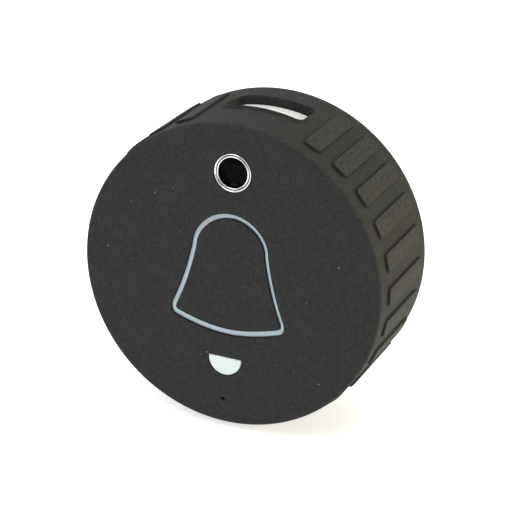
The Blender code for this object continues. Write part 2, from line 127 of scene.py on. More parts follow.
# The plated ring: round ridges with a groove between them, and what lies behind it
RING_RIDGE = 0.12 * MM
RING_GROOVE_SHALLOW, RING_GROOVE_DEEP, RING_GROOVE_HALF = 0.42 * MM, 0.5 * MM, 0.14 * MM
RING_INNER_DROP = 0.2 * MM
RING_LEDGE = 1.6 * MM
BARREL_STEPS, BARREL_STEP_IN, BARREL_STEP_DOWN = 4, 0.28 * MM, 0.35 * MM
BARREL_TOP, BARREL_FLOOR, BARREL_BACK, BARREL_EYE = 1.5 * MM, 3.3 * MM, 21.6 * MM, 1.3 * MM
GLASS_TOP, GLASS_SAG, GLASS_EDGE = 1.25 * MM, 0.45 * MM, 0.12 * MM


class Sheet:
    """Adds nodes to a tree and links them, so that a tree reads as a list of steps."""

    def __init__(self, tree):
        self.tree = tree

    def add(self, kind, inputs=None, **settings):
        """A node with its settings made and its inputs linked or set."""
        node = self.tree.nodes.new(kind)
        node.location = (220 * (len(self.tree.nodes) % 9), -260 * (len(self.tree.nodes) // 9))
        for name, value in settings.items():
            setattr(node, name, value)
        for key, value in (inputs or {}).items():
            self.feed(self.socket(node, key), value)
        return node

    def socket(self, node, key):
        """An input by its place or by its name, past any hidden one of the same name."""
        if isinstance(key, int):
            return node.inputs[key]
        return next(socket for socket in node.inputs if socket.name == key and socket.enabled)

    def feed(self, socket, value):
        if isinstance(value, bpy.types.NodeSocket):
            self.tree.links.new(value, socket)
        else:
            socket.default_value = value

    def math(self, operation, *values):
        kind = "ShaderNodeMath"
        return self.add(kind, dict(enumerate(values)), operation=operation).outputs[0]

    def plus(self, first, second):
        return self.math("ADD", first, second)

    def minus(self, first, second):
        return self.math("SUBTRACT", first, second)

    def times(self, first, second):
        return self.math("MULTIPLY", first, second)

    def larger(self, first, second):
        return self.math("MAXIMUM", first, second)

    def parts(self, vector):
        """A vector's X, Y and Z."""
        return self.add("ShaderNodeSeparateXYZ", {0: vector}).outputs

    def length(self, across, along):
        """Length of a flat vector."""
        flat = self.add("ShaderNodeCombineXYZ", {0: across, 1: along}).outputs[0]
        return self.add("ShaderNodeVectorMath", {0: flat}, operation="LENGTH").outputs["Value"]

    def remap(self, value, low, high, to_low=0.0, to_high=1.0):
        """value taken smoothly from low..high to to_low..to_high, and held there outside."""
        inputs = {"Value": value, "From Min": low, "From Max": high, "To Min": to_low, "To Max": to_high}
        return self.add("ShaderNodeMapRange", inputs, interpolation_type="SMOOTHSTEP").outputs["Result"]

    def mix_colour(self, factor, first, second):
        inputs = {"Factor": factor, 6: first, 7: second}
        return self.add("ShaderNodeMix", inputs, data_type="RGBA").outputs[2]


# ---------- finishes


class Finish(Sheet):
    """A new material's nodes, with its shader and the object's coordinates at hand."""

    def __init__(self, name, **fixed):
        """fixed are the values that stay on the shader's own sockets."""
        self.material = bpy.data.materials.new(name)
        self.material.use_nodes = True
        super().__init__(self.material.node_tree)
        self.shader = self.tree.nodes["Principled BSDF"]
        for socket, value in fixed.items():
            self.shader.inputs[socket.replace("_", " ")].default_value = value
        self.place = self.add("ShaderNodeTexCoord").outputs["Object"]

    def noise(self, size, detail=2.0, roughness=0.5):
        """Noise whose features are about size metres across."""
        inputs = {"Vector": self.place, "Scale": 1 / size, "Detail": detail, "Roughness": roughness}
        return self.add("ShaderNodeTexNoise", inputs).outputs["Fac"]

    def cells(self, size):
        """Cells about size metres across: distance from a cell's middle, and its random colour."""
        node = self.add("ShaderNodeTexVoronoi", {"Vector": self.place, "Scale": 1 / size})
        return node.outputs["Distance"], node.outputs["Color"]

    def specks(self, size, share):
        """1 on a share of small round specks, 0 elsewhere."""
        distance, colour = self.cells(size)
        spot = self.remap(distance, 0.28, 0.12)
        pick = self.add("ShaderNodeSeparateColor", {0: colour}).outputs[0]
        return self.times(spot, self.math("LESS_THAN", pick, share))

    def colour(self, value):
        self.feed(self.shader.inputs["Base Color"], value)

    def roughness(self, marks, low, high):
        """Roughness that goes from low to high with the marks."""
        self.feed(self.shader.inputs["Roughness"], self.remap(marks, 0.3, 0.7, low, high))

    def bump(self, height, strength, distance):
        inputs = {"Height": height, "Strength": strength, "Distance": distance}
        self.feed(self.shader.inputs["Normal"], self.add("ShaderNodeBump", inputs).outputs["Normal"])


def tint(colour, factor=1.0):
    """A colour for a socket, darker or paler by a factor."""
    return (*(factor * c for c in colour), 1)


def rubber_finish(name, colour, dust_and_highlight):
    """Matte silicone: mottled and dusty, with painted shade in the creases, a painted highlight among the
    dust on the face edge, and a little paler on raised tops.
    """
    finish = Finish(name, Roughness=0.78, Specular_IOR_Level=0.28)
    cloud = finish.noise(7 * MM, 3.0)
    grain = finish.noise(0.28 * MM, 3.0, 0.75)
    mottle = finish.noise(0.75 * MM, 2.0, 0.7)
    raised = finish.add("ShaderNodeAttribute", attribute_name="raised").outputs["Fac"]
    crease_shade = finish.add("ShaderNodeAttribute", attribute_name="crease_shade").outputs["Fac"]

    shade = finish.plus(finish.remap(cloud, 0.3, 0.7, 0.0, 0.4), finish.remap(grain, 0.32, 0.68, 0.0, 0.6))
    base = finish.mix_colour(shade, tint(colour, 0.8), tint(colour, 1.2))
    base = finish.mix_colour(finish.times(raised, 0.55), base, tint(colour, 1.5))
    base = finish.mix_colour(finish.remap(mottle, 0.58, 0.36, 0.0, 0.26), base, tint(colour, 0.55))
    film = finish.times(finish.remap(mottle, 0.42, 0.66), finish.remap(raised, 0.0, 1.0, 0.018, 0.05))
    base = finish.mix_colour(film, base, (0.34, 0.33, 0.27, 1))
    # Painted shade: the crease at each pad's foot is darkened in the colour
    base = finish.mix_colour(finish.times(crease_shade, 0.8), base, tint(colour, 0.12))

    fine = finish.times(finish.specks(0.42 * MM, 0.1), 0.24)
    coarse = finish.times(finish.specks(0.65 * MM, 0.03), finish.remap(grain, 0.4, 0.62))
    lint = finish.specks(0.85 * MM, 0.007)
    # Dust and a painted highlight: a paler, grainy line along the rounded face edge
    edge = finish.times(face_edge(finish), finish.remap(grain, 0.4, 0.75, 0.0, 0.22))
    dust_and_edge_highlight = finish.larger(finish.larger(fine, finish.times(coarse, 0.75)), finish.larger(lint, edge))
    finish.colour(finish.mix_colour(finish.times(dust_and_edge_highlight, dust_and_highlight), base, (0.3, 0.3, 0.28, 1)))
    finish.bump(grain, 0.4, 0.05 * MM)
    return finish.material


def face_edge(finish):
    """1 along the rounded edge between face and side, 0 elsewhere."""
    parts = finish.parts(finish.place)
    across = finish.length(parts["X"], parts["Z"])
    off = finish.math("ABSOLUTE", finish.minus(across, FACE_RADIUS - 0.3 * FACE_EDGE))
    near = finish.remap(off, 0.7 * FACE_EDGE, 0.1 * FACE_EDGE)
    at_face = finish.remap(parts["Y"], -DEPTH + 1.5 * FACE_EDGE, -DEPTH + 0.7 * FACE_EDGE)
    return finish.times(near, at_face)


def plastic_finish(name, colour, roughness=0.5):
    """Moulded plastic: a fine spark-eroded grain and a slow change of tone."""
    finish = Finish(name, Specular_IOR_Level=0.45)
    grain = finish.noise(0.25 * MM, 2.0, 0.6)
    finish.colour(finish.mix_colour(finish.noise(12 * MM), tint(colour, 0.88), tint(colour, 1.1)))
    finish.roughness(grain, roughness - 0.08, roughness + 0.1)
    finish.bump(grain, 0.2, 0.04 * MM)
    return finish.material


def milky_finish(name, colour, roughness):
    """Light-scattering plastic for the guide and the half-moon."""
    finish = Finish(name, Subsurface_Weight=0.25, Subsurface_Scale=0.8 * MM, Specular_IOR_Level=0.5)
    finish.colour(finish.mix_colour(finish.noise(2.5 * MM), tint(colour, 0.93), tint(colour, 1.05)))
    fine = finish.noise(0.3 * MM)
    finish.roughness(fine, roughness - 0.05, roughness + 0.08)
    finish.bump(fine, 0.08, 0.03 * MM)
    return finish.material


def metal_finish(name, colour, roughness, groove=None):
    """Metal with faint wear, darkened by painted shade in a groove of (radius, half width) round the lens.
    """
    finish = Finish(name, Metallic=1.0)
    marks = finish.noise(0.6 * MM, 3.0, 0.6)
    base = finish.mix_colour(marks, tint(colour, 0.9), tint(colour))
    if groove:
        radius, half_width = groove
        parts = finish.parts(finish.place)
        across = finish.length(parts["X"], finish.minus(parts["Z"], LENS_CENTRE.y))
        off = finish.math("ABSOLUTE", finish.minus(across, radius))
        # Painted shade: the groove between the ring's ridges is darkened in the colour
        groove_shade = finish.remap(off, half_width * 1.4, half_width * 0.6, 0.0, 0.85)
        base = finish.mix_colour(groove_shade, base, (0.12, 0.12, 0.12, 1))
    finish.colour(base)
    finish.roughness(marks, roughness * 0.8, roughness * 1.3)
    finish.bump(marks, 0.05, 0.02 * MM)
    return finish.material


def glass_finish(name, colour):
    """Dark coated lens glass, shiny and nearly black."""
    finish = Finish(name, IOR=1.45, Specular_IOR_Level=0.03)
    cloud = finish.noise(1.5 * MM)
    finish.colour(finish.mix_colour(cloud, tint(colour, 0.5), tint(colour)))
    finish.roughness(cloud, 0.03, 0.07)
    return finish.material


def foam_finish(name, colour):
    """Closed-cell foam with small pores, their middles darkened by painted shade."""
    finish = Finish(name, Roughness=0.9, Specular_IOR_Level=0.2)
    pores, _ = finish.cells(0.6 * MM)
    # Painted shade: each pore is darker in its middle
    finish.colour(finish.mix_colour(finish.remap(pores, 0.1, 0.5), tint(colour, 0.75), tint(colour)))
    finish.bump(pores, 0.4, 0.08 * MM)
    return finish.material


def board_finish(name, colour):
    """Solder mask over copper tracks."""
    finish = Finish(name, Specular_IOR_Level=0.5)
    inputs = {"Vector": finish.place, "Scale": 1 / (3 * MM), "Mortar Size": 0.04, "Color1": (0, 0, 0, 1),
              "Color2": (0, 0, 0, 1), "Mortar": (1, 1, 1, 1)}
    tracks = finish.add("ShaderNodeTexBrick", inputs).outputs["Fac"]
    finish.colour(finish.mix_colour(tracks, tint(colour), tint(colour, 1.9)))
    finish.roughness(finish.noise(2 * MM), 0.3, 0.45)
    finish.bump(tracks, 0.2, 0.04 * MM)
    return finish.material


# ---------- shapes


def mesh_from(bm, name):
    """A new mesh from a bmesh, which is freed."""
    mesh = bpy.data.meshes.new(name)
    bm.to_mesh(mesh)
    bm.free()
    return mesh


def add_object(name, data):
    """A new object in the scene."""
    thing = bpy.data.objects.new(name, data)
    bpy.context.scene.collection.objects.link(thing)
    return thing


def finished_piece(name, bm, material, body, node_slot, *replaced, sharp=35.0):
    """A piece in the world from a mesh in the wall's frame, riding on its body."""
    bmesh.ops.remove_doubles(bm, verts=bm.verts, dist=MERGE)
    bmesh.ops.recalc_face_normals(bm, faces=bm.faces)
    mesh = mesh_from(bm, name)
    mesh.transform(WALL_TO_WORLD)
    mesh.shade_smooth()
    mesh.set_sharp_from_angle(angle=math.radians(sharp))
    mesh.materials.clear()
    mesh.materials.append(material)
    piece = add_object(name, mesh)
    piece.modifiers.new("Weighted Normal", "WEIGHTED_NORMAL").keep_sharp = True
    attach(piece, body)
    if replaced:
        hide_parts(*replaced)
    return piece


def turned(bm, profile, centre=(0, 0), steps=96, closed=False):
    """Adds a profile of (radius, height) points turned about the z axis through centre."""
    middle = Vector((*centre, 0))
    verts = [bm.verts.new(middle + Vector((radius, 0, height))) for radius, height in profile]
    edges = [bm.edges.new(pair) for pair in zip(verts, verts[1:])]
    if closed:
        edges.append(bm.edges.new((verts[-1], verts[0])))
    bmesh.ops.spin(
        bm, geom=verts + edges, cent=middle, axis=(0, 0, 1), angle=math.tau, steps=steps, use_merge=True
    )
    bmesh.ops.remove_doubles(bm, verts=bm.verts, dist=MERGE)


def arc(centre, radius, start, end, count):
    """count + 1 points of an arc, its angles in degrees."""
    angles = [math.radians(start + (end - start) * i / count) for i in range(count + 1)]
    return [(centre[0] + radius * math.cos(a), centre[1] + radius * math.sin(a)) for a in angles]


def cubic(p0, p1, p2, p3, count):
    """Points along a cubic Bezier, without its last one."""
    points = []
    for i in range(count):
        t = i / count
        weights = ((1 - t) ** 3, 3 * t * (1 - t) ** 2, 3 * t * t * (1 - t), t**3)
        points.append(tuple(sum(w * p[k] for w, p in zip(weights, (p0, p1, p2, p3))) for k in (0, 1)))
    return points


def moved_out(loop, offset, at_ends=0.0):
    """A clockwise loop of points moved along its outward normals, by at_ends more at top and foot."""
    moved = []
    for i, (x, y) in enumerate(loop):
        before, after = loop[i - 1], loop[(i + 1) % len(loop)]
        along = Vector((after[0] - before[0], after[1] - before[1])).normalized()
        out = offset + at_ends * along.x**2
        moved.append((x - along.y * out, y + along.x * out))
    return moved


def bell_outline(offset=0.0, at_ends=0.0, shift=(0, 0)):
    """The bell: a dome, flaring sides, round corners and a bowed foot, moved out by offset."""
    dome = cubic((0, 14.15), (4.25, 14.15), (8.25, 10.5), (8.3, 6.6), 24)
    side = cubic((8.3, 6.6), (8.85, 3.0), (10.45, -3.2), (12.4, -7.6), 20)
    corner = cubic((12.4, -7.6), (13.05, -9.05), (12.8, -10.05), (11.7, -10.4), 12)
    foot = cubic((11.7, -10.4), (8.0, -11.6), (4.0, -12.6), (0, -12.6), 16)
    right = dome + side + corner + foot
    loop = right + [(0, -12.6)] + [(-x, y) for x, y in reversed(right[1:])]
    loop = moved_out([(x * MM, y * MM) for x, y in loop], offset, at_ends)
    return [(x + shift[0], y + shift[1]) for x, y in loop]


def moon_outline(offset=0.0):
    """The half-moon: an arc a little over a half circle, closed by its flat top."""
    start = math.degrees(math.asin((MOON_TOP - MOON_Y) / MOON_RADIUS))
    bow = arc((0, MOON_Y), MOON_RADIUS, start - 8, -180 - start + 8, 40)
    left, right = bow[-1][0], bow[0][0]
    top = cubic((left, bow[-1][1]), (left, MOON_TOP), (left, MOON_TOP), (left + MOON_CORNER, MOON_TOP), 5)
    end = cubic((right - MOON_CORNER, MOON_TOP), (right, MOON_TOP), (right, MOON_TOP), (right, bow[0][1]), 5)
    return moved_out(bow[:-1] + top + end, offset)


def circle(centre, radius, count):
    """A clockwise circle."""
    return arc(centre, radius, 0, -360 + 360 / count, count - 1)


def evaluated_mesh(carrier):
    """A plain mesh of what the carrier evaluates to; the carrier is removed."""
    mesh = bpy.data.meshes.new_from_object(carrier.evaluated_get(bpy.context.evaluated_depsgraph_get()))
    bpy.data.objects.remove(carrier)
    return mesh


def flat_fill(bm, loops, height):
    """Fills the area between an outer loop and its holes at one height."""
    curve = bpy.data.curves.new("fill", "CURVE")
    curve.dimensions = "2D"
    curve.fill_mode = "BOTH"
    for loop in loops:
        spline = curve.splines.new("POLY")
        spline.points.add(len(loop) - 1)
        for point, (x, y) in zip(spline.points, loop):
            point.co = (x, y, 0, 1)
        spline.use_cyclic_u = True
    mesh = evaluated_mesh(add_object("fill", curve))
    mesh.transform(Matrix.Translation((0, 0, height)))
    bm.from_mesh(mesh)
    bpy.data.meshes.remove(mesh)


def loft(bm, rings):
    """Joins rings of (x, y, z) points with equal counts by faces."""
    made = [[bm.verts.new(point) for point in ring] for ring in rings]
    for low, high in zip(made, made[1:]):
        for i in range(len(low)):
            j = (i + 1) % len(low)
            bm.faces.new((low[i], low[j], high[j], high[i]))
    return made


def at_height(loop, height):
    return [(x, y, height) for x, y in loop]


def rim_steps(top, radius, count=4):
    """(offset, height) steps of a rounded edge, from the flat down to the wall."""
    for i in range(count + 1):
        turn = math.pi / 2 * i / count
        yield radius * (1 - math.sin(turn)), top - radius * (1 - math.cos(turn))


def solid_outline(bm, outline, top, bottom, rim, inner=None):
    """A flat piece with a rounded top edge; outline(offset) gives its edge, inner(offset) its hole's."""
    def wall(edge, sign):
        rings = [at_height(edge(-sign * out), z) for out, z in rim_steps(top, rim)]
        rings.append(at_height(edge(0), bottom))
        loft(bm, rings)

    wall(outline, 1)
    tops, bottoms = [outline(-rim)], [outline(0)]
    if inner:
        wall(inner, -1)
        tops.append(inner(rim))
        bottoms.append(inner(0))
    flat_fill(bm, tops, top)
    flat_fill(bm, bottoms, bottom)


# ---------- the sleeve


def sleeve_radius(z):
    return BACK_RADIUS + (FACE_RADIUS - BACK_RADIUS) * z / DEPTH


def spread(low, high, step):
    """Evenly spaced values from low up to, and without, high."""
    count = max(1, round((high - low) / step))
    return [low + (high - low) * i / count for i in range(count)]


def thinned(values, gap):
    """Sorted values with those closer than gap to the one before left out."""
    kept = []
    for value in sorted(values):
        if not kept or value - kept[-1] > gap:
            kept.append(value)
    return kept


# The painted shade in the crease at a pad's foot: how far inside the foot it lies, its half width, and where
# it ends
CREASE_SHADE_IN, CREASE_SHADE_HALF, CREASE_SHADE_FADE = 0.12 * MM, 0.06 * MM, 0.27 * MM

# Distances inside a raised edge's foot at which the sleeve's mesh has a line
EDGE_LINES = [d * MM for d in (-0.7, -0.35, -0.13, 0.03, 0.13, 0.24, 0.36, 0.6, 0.95, 1.4)]
BEAD_LINES = [d * MM for d in (-0.3, 0.08, 0.35, 0.6, 0.85, 1.1, 1.4)]


def sleeve_angles(settings):
    """Angles round the sleeve, dense where a pad's or the window bead's edges are."""
    foot = settings.grip_width / 2 + settings.grip_slope
    values = spread(0.0, math.pi, 1.0 * MM / BACK_RADIUS)
    for i in range(GRIP_PER_SIDE):
        middle = GRIP_FIRST + GRIP_PITCH * i
        near = [(foot - d) / BACK_RADIUS for d in EDGE_LINES]
        values = [v for v in values if abs(v - middle) > near[0] + 0.3 * MM / BACK_RADIUS]
        values += [middle + side * d for d in near for side in (-1, 1)] + [middle]
    window = [(WINDOW_HALF + d) / BACK_RADIUS for d in BEAD_LINES]
    values = [v for v in values if not window[0] < v < window[-1]] + window
    half = thinned(values, 0.06 * MM / BACK_RADIUS)
    left = [math.tau - a for a in reversed(half) if a > 0]
    return [GRIP_TURN + a for a in half + left]


def sleeve_heights():
    """Heights up the outer wall, from the face down, dense at pad ends and window edges."""
    values = [z * MM for z in (2.0, 3.0, 8.5, 10.0, 12.0, 14.0, 16.0, 20.5, 22.0, 26.6, 27.6)]
    values += [GRIP_FRONT - d for d in EDGE_LINES] + [GRIP_BACK + d for d in EDGE_LINES]
    values += [WINDOW_FRONT + d for d in BEAD_LINES] + [WINDOW_BACK - d for d in BEAD_LINES]
    return list(reversed(thinned(values, 0.06 * MM)))


def sleeve_profile():
    """(radius, height) from the face's flat, over the edge, down the wall and back up inside."""
    edge = []
    steps = 8
    for i in range(steps + 1):
        turn = math.pi / 2 * i / steps
        edge.append((FLAT_RADIUS + FACE_EDGE * math.sin(turn), DEPTH - FACE_EDGE * (1 - math.cos(turn))))
    wall = [(sleeve_radius(z), z) for z in sleeve_heights()]
    lip = 0.25 * MM
    foot = [
        (BACK_RADIUS, SLEEVE_BACK + lip),
        (BACK_RADIUS - lip * 0.3, SLEEVE_BACK + lip * 0.3),
        (BACK_RADIUS - lip, SLEEVE_BACK),
        (SLEEVE_BORE + lip, SLEEVE_BACK),
        (SLEEVE_BORE, SLEEVE_BACK + lip),
        (SLEEVE_BORE, 14 * MM),
        (SLEEVE_BORE, SKIN_BACK),
    ]
    return [(FLAT_RADIUS - 0.3 * MM, DEPTH)] + edge + wall + foot


def ring_at(angles, radius, height):
    return [(radius * math.sin(a), radius * math.cos(a), height) for a in angles]


def rounded_distance(sheet, across, along, half_across, half_along, corner):
    """Distance outside a rounded rectangle, negative inside it; across and along are from its middle."""
    over_x = sheet.plus(sheet.minus(sheet.math("ABSOLUTE", across), half_across), corner)
    over_z = sheet.plus(sheet.minus(sheet.math("ABSOLUTE", along), half_along), corner)
    out_x, out_z = sheet.larger(over_x, 0.0), sheet.larger(over_z, 0.0)
    inside = sheet.math("MINIMUM", sheet.larger(over_x, over_z), 0.0)
    return sheet.minus(sheet.plus(sheet.length(out_x, out_z), inside), corner)


def new_tree(name, values):
    """A node tree with an input for each named value, its sheet and its inputs."""
    tree = bpy.data.node_groups.new(name, "GeometryNodeTree")
    for in_out in ("INPUT", "OUTPUT"):
        tree.interface.new_socket("Geometry", in_out=in_out, socket_type="NodeSocketGeometry")
    for key, value in values.items():
        kind = "NodeSocketInt" if isinstance(value, int) else "NodeSocketFloat"
        tree.interface.new_socket(key, in_out="INPUT", socket_type=kind)
    sheet = Sheet(tree)
    return tree, sheet, sheet.add("NodeGroupInput").outputs


def grip_tree(settings, material):
    """Node tree that raises the grip pads and the window's bead from the sleeve's wall."""
    values = {
        "Height": settings.grip_height,
        "Half Width": settings.grip_width / 2 + settings.grip_slope,
        "Slope": settings.grip_slope,
        "Corner": settings.grip_corner,
        "Back": GRIP_BACK,
        "Front": GRIP_FRONT,
        "First Angle": GRIP_FIRST,
        "Pitch": GRIP_PITCH,
        "Last Pad": float(GRIP_PER_SIDE - 1),
        "Turn": GRIP_TURN,
        "Wall Radius": BACK_RADIUS,
        "Bead Height": settings.bead_height,
        "Bead Width": settings.bead_width,
        "Window Half": WINDOW_HALF,
        "Window Back": WINDOW_BACK,
        "Window Front": WINDOW_FRONT,
        "Window Corner": settings.window_corner,
    }
    tree, sheet, given = new_tree("Sleeve Relief", values)
    parts = sheet.parts(sheet.add("GeometryNodeInputPosition").outputs[0])
    angle = sheet.minus(sheet.math("ARCTAN2", parts[0], parts[1]), given["Turn"])
    angle = sheet.math("WRAP", angle, math.pi, -math.pi)
    fold = sheet.minus(sheet.math("ABSOLUTE", angle), given["First Angle"])
    pad = sheet.math("ROUND", sheet.math("DIVIDE", fold, given["Pitch"]))
    pad = sheet.larger(0.0, sheet.math("MINIMUM", pad, given["Last Pad"]))
    local = sheet.minus(fold, sheet.times(pad, given["Pitch"]))
    across = sheet.times(local, given["Wall Radius"])

    def span(back, front):
        """A stretch's half length, and where the point is from its middle."""
        middle = sheet.times(sheet.plus(given[back], given[front]), 0.5)
        half = sheet.times(sheet.minus(given[front], given[back]), 0.5)
        return half, sheet.minus(parts[2], middle)

    half, along = span("Back", "Front")
    outside = rounded_distance(sheet, across, along, given["Half Width"], half, given["Corner"])
    depth_in = sheet.times(outside, -1.0)
    pad_top = sheet.remap(depth_in, 0.0, given["Slope"])
    half, along = span("Window Back", "Window Front")
    across = sheet.times(angle, given["Wall Radius"])
    beyond = rounded_distance(sheet, across, along, given["Window Half"], half, given["Window Corner"])
    in_front = sheet.remap(along, sheet.times(half, -0.9), sheet.times(half, 0.5))
    bead = sheet.times(sheet.remap(beyond, given["Bead Width"], 0.0), in_front)
    lift = sheet.times(pad_top, given["Height"])
    lift = sheet.plus(lift, sheet.times(bead, given["Bead Height"]))
    flat = sheet.add("ShaderNodeCombineXYZ", {0: parts[0], 1: parts[1]}).outputs[0]
    outward = sheet.add("ShaderNodeVectorMath", {0: flat}, operation="NORMALIZE").outputs[0]
    offset = sheet.add("ShaderNodeVectorMath", {0: outward, "Scale": lift}, operation="SCALE").outputs[0]
    on_wall = sheet.math("GREATER_THAN", sheet.length(parts[0], parts[1]), SLEEVE_BORE + 1 * MM)
    placed = sheet.add(
        "GeometryNodeSetPosition", {"Geometry": given["Geometry"], "Offset": offset, "Selection": on_wall}
    ).outputs[0]
    # Where the painted shade goes: a band along the crease at each pad's foot, kept for the finish
    off_slope = sheet.math("ABSOLUTE", sheet.minus(depth_in, CREASE_SHADE_IN))
    foot = sheet.remap(off_slope, CREASE_SHADE_FADE, CREASE_SHADE_HALF)
    marked = store_mask(sheet, placed, "crease_shade", sheet.times(foot, on_wall))
    marked = store_mask(sheet, marked, "raised", sheet.times(pad_top, on_wall))
    real = sheet.add("GeometryNodeRealizeInstances", {0: marked})
    painted = sheet.add("GeometryNodeSetMaterial", {"Geometry": real.outputs[0], "Material": material})
    sheet.add("NodeGroupOutput", {0: painted.outputs[0]})
    return tree, values


def store_mask(sheet, geometry, name, value):
    """The geometry with a value kept on its points for the finish to read."""
    inputs = {"Geometry": geometry, "Name": name, "Value": value}
    return sheet.add("GeometryNodeStoreNamedAttribute", inputs, data_type="FLOAT", domain="POINT").outputs[0]


def set_inputs(modifier, tree, values):
    """Sets a node modifier's named inputs by their identifiers."""
    modifier.node_group = tree
    for item in tree.interface.items_tree:
        if item.in_out == "INPUT" and item.name in values:
            modifier[item.identifier] = values[item.name]


def baked(carrier):
    """The carrier's evaluated mesh as a bmesh; the carrier is removed."""
    mesh = evaluated_mesh(carrier)
    bm = bmesh.new()
    bm.from_mesh(mesh)
    bpy.data.meshes.remove(mesh)
    return bm


def rounded_box_loop(half_x, low, high, corner, count=6):
    """A rounded rectangle from -half_x to half_x and low to high."""
    centres = ((half_x - corner, high - corner, 90), (half_x - corner, low + corner, 0),
               (-half_x + corner, low + corner, -90), (-half_x + corner, high - corner, -180))
    loop = []
    for x, y, start in centres:
        loop += arc((x, y), corner, start, start - 90, count)
    return loop


def with_points(loop, step):
    """A loop with its long straight stretches divided."""
    points = []
    for i, (x, y) in enumerate(loop):
        next_x, next_y = loop[(i + 1) % len(loop)]
        count = max(1, math.ceil(math.hypot(next_x - x, next_y - y) / step))
        points += [(x + (next_x - x) * k / count, y + (next_y - y) * k / count) for k in range(count)]
    return points


def window_cutter(settings):
    """The speaker window: straight walls, a small round in front and a wide one at the back."""
    crest = sleeve_radius(WINDOW_FRONT) + settings.bead_height
    rim = sleeve_radius(WINDOW_BACK)
    # Radius, how far the walls stand out all round, and how much further the back wall does
    levels = (
        (GRILLE_HIGH.y - 2.5 * MM, 0.0, 0.0),
        (rim - 0.7 * MM, 0.0, 0.0),
        (rim - 0.42 * MM, 0.0, 0.03 * MM),
        (rim - 0.22 * MM, 0.0, 0.09 * MM),
        (rim - 0.09 * MM, 0.01 * MM, 0.17 * MM),
        (rim, 0.02 * MM, 0.28 * MM),
        (crest - 0.1 * MM, 0.04 * MM, 0.4 * MM),
        (crest + 0.1 * MM, 0.16 * MM, 0.6 * MM),
        (crest + 10 * MM, 0.4 * MM, 0.9 * MM),
    )
    bm = bmesh.new()
    rings = []
    for radius, out, behind in levels:
        corner = settings.window_corner + out
        loop = rounded_box_loop(WINDOW_HALF + out, WINDOW_BACK - behind, WINDOW_FRONT + out, corner)
        rings.append([(x, radius, z) for x, z in with_points(loop, 0.8 * MM)])
    made = loft(bm, rings)
    bm.faces.new(made[0])
    bm.faces.new(made[-1])
    bmesh.ops.recalc_face_normals(bm, faces=bm.faces)
    bend_to_wall(bm)
    bmesh.ops.rotate(bm, verts=bm.verts, cent=(0, 0, 0), matrix=Matrix.Rotation(-GRIP_TURN, 3, "Z"))
    return add_object("window_cutter", mesh_from(bm, "window_cutter"))


def bend_to_wall(bm):
    """Wraps a shape drawn over the top round the sleeve: x becomes a length along the wall."""
    for vert in bm.verts:
        angle = vert.co.x / BACK_RADIUS
        vert.co.x, vert.co.y = vert.co.y * math.sin(angle), vert.co.y * math.cos(angle)


def make_sleeve(settings):
    """The rubber skin: turned wall with raised pads, a pierced face and the speaker window."""
    material = rubber_finish("silicone", settings.colour, settings.dust_and_highlight)
    bm = bmesh.new()
    angles = sleeve_angles(settings)
    profile = sleeve_profile()
    loft(bm, [ring_at(angles, radius, z) for radius, z in profile])
    holes = (
        bell_opening,
        moon_outline,
        lambda out: circle((0, LENS_CENTRE.y), settings.lens_hole + out, 72),
        lambda out: circle(MIC_PLACE, MIC_RADIUS + out, 20),
    )
    first, last = profile[0], profile[-1]
    tops = [[(x, y) for x, y, _ in ring_at(angles, first[0], 0)]]
    bottoms = [[(x, y) for x, y, _ in ring_at(angles, last[0], 0)]]
    for hole in holes:
        rings = [at_height(hole(out), z) for out, z in rim_steps(DEPTH, RIM)]
        rings.append(at_height(hole(0), last[1]))
        loft(bm, rings)
        tops.append(hole(RIM))
        bottoms.append(hole(0))
    flat_fill(bm, tops, DEPTH)
    flat_fill(bm, bottoms, last[1])
    bmesh.ops.remove_doubles(bm, verts=bm.verts, dist=MERGE)
    bmesh.ops.recalc_face_normals(bm, faces=bm.faces)
    carrier = add_object("sleeve_carrier", mesh_from(bm, "sleeve_carrier"))
    tree, values = grip_tree(settings, material)
    set_inputs(carrier.modifiers.new("Grip Pads", "NODES"), tree, values)
    cutter = window_cutter(settings)
    window = carrier.modifiers.new("Window", "BOOLEAN")
    window.operation, window.solver, window.object = "DIFFERENCE", "EXACT", cutter
    sleeve = baked(carrier)
    bpy.data.objects.remove(cutter)
    return finished_piece("sleeve", sleeve, material, "unit", "rubber", "silicone_sleeve")


def bell_opening(out):
    return bell_outline(OPENING_OUT + out, OPENING_OUT_ENDS)


def key_edge(out):
    return bell_outline(out - KEY_IN, -KEY_IN_ENDS, KEY_SHIFT)


# ---------- face pieces


def make_bell_key(settings):
    """The rubber island that is pressed, of the sleeve's colour."""
    bm = bmesh.new()
    solid_outline(bm, key_edge, DEPTH, KEY_BACK, RIM)
    material = rubber_finish("key_silicone", settings.colour, settings.dust_and_highlight)
    return finished_piece("bell_island", bm, material, "bell_key", "rubber", "key_skin")


def make_light_guide(settings):
    """The pale line that lies low in the slot between sleeve and island."""
    bm = bmesh.new()
    top = DEPTH - settings.guide_depth
    solid_outline(bm, lambda out: bell_opening(out - INLAY_CLEAR), top, SKIN_BACK, GUIDE_RIM,
                  lambda out: key_edge(out + INLAY_CLEAR))
    material = milky_finish("light_guide", settings.guide_colour, 0.4)
    return finished_piece("light_line", bm, material, "unit", "light_guide", "bell_light_guide")


def make_half_moon(settings):
    """The half-moon diffuser."""
    bm = bmesh.new()
    top = DEPTH - settings.moon_depth
    solid_outline(bm, lambda out: moon_outline(out - INLAY_CLEAR), top, SKIN_BACK, MOON_RIM)
    material = milky_finish("moon_diffuser", settings.moon_colour, 0.3)
    return finished_piece("half_moon", bm, material, "unit", "white_plastic", "status_window")


